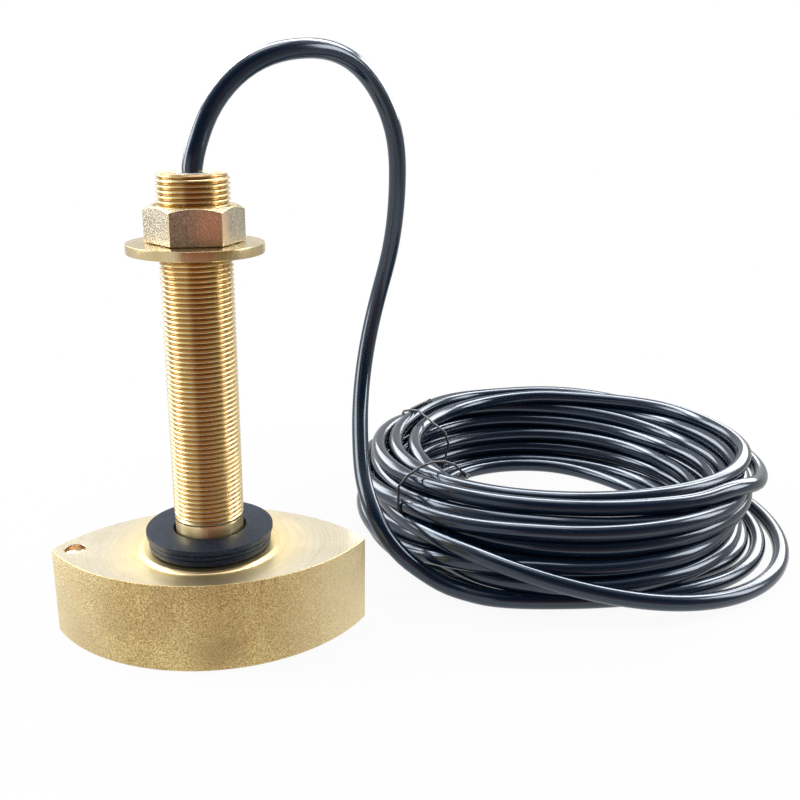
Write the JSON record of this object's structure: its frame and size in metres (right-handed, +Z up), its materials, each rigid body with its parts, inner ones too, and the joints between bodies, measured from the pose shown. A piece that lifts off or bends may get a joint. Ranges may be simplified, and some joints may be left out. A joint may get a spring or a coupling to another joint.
{
  "type": "sonar transducer",
  "caption": "Through-hull sonar transducer: lens-shaped bronze housing, long threaded stem with hull nut and washers, and a black cable that lies in a tied coil.",
  "frame": {"origin": "on the stem's axis, at the bottom face of the housing", "axes": "+Z up the stem, +X along the housing's long axis, +Y across it"},
  "size_m": [0.3255, 0.2235, 0.2245],
  "materials": {
    "bronze": "sand-cast sides, turned top and thread",
    "moulded window": "moulded, matt",
    "silvered ceramic": "fired ceramic with silver faces",
    "cork": "cut cork",
    "solder": "bright solder",
    "signal insulation": "smooth insulation",
    "return insulation": "smooth insulation",
    "potting resin": "cast resin",
    "black cable jacket": "smooth glossy jacket",
    "pale seal resin": "cast resin, satin",
    "black rubber": "moulded, satin",
    "cast nut bronze": "cast flats, machined chamfer",
    "turned bronze": "turned",
    "coiled cable": "smooth glossy jacket",
    "tie wire": "coated wire",
    "shrink sleeve": "shrunk sleeve",
    "end core signal": "smooth insulation",
    "end core return": "smooth insulation",
    "tinned screen": "twisted tinned strands"
  },
  "bodies": {
    "transducer": {"transducer_housing": "bronze", "acoustic_window": "moulded window", "ceramic_disc": "silvered ceramic", "cork_sleeve": "cork", "cork_backing": "cork", "signal_solder": "solder", "return_solder": "solder", "signal_wire": "signal insulation", "return_wire": "return insulation", "resin_block": "potting resin", "stem_cable": "black cable jacket", "cable_seal": "pale seal resin", "lower_sealing_washer": "black rubber", "upper_sealing_washer": "black rubber", "cable_lead": "black cable jacket", "cable_coil": "coiled cable", "rear_wire_tie": "tie wire", "front_wire_tie": "tie wire", "cable_tail": "black cable jacket", "end_sleeve": "shrink sleeve", "end_core_signal": "end core signal", "end_core_return": "end core return", "end_screen": "tinned screen"},
    "clamp_ring": {"clamp_washer": "turned bronze"},
    "nut": {"hull_nut": "cast nut bronze"}
  },
  "joints": [
    {"name": "washer_travel", "type": "slide", "parent": "transducer", "child": "clamp_ring", "axis": [0, 0, 1], "range_m": [-0.1062, 0.0108]},
    {"name": "nut_turn", "type": "hinge", "parent": "clamp_ring", "child": "nut", "pos_m": [0, 0, 0.1607], "axis": [0, 0, 1], "range_deg": [-21060, 2124]}
  ],
  "couplings": [
    {"joint": "washer_travel", "follows": "nut_turn", "m_per_rad": 0.00028871}
  ]
}
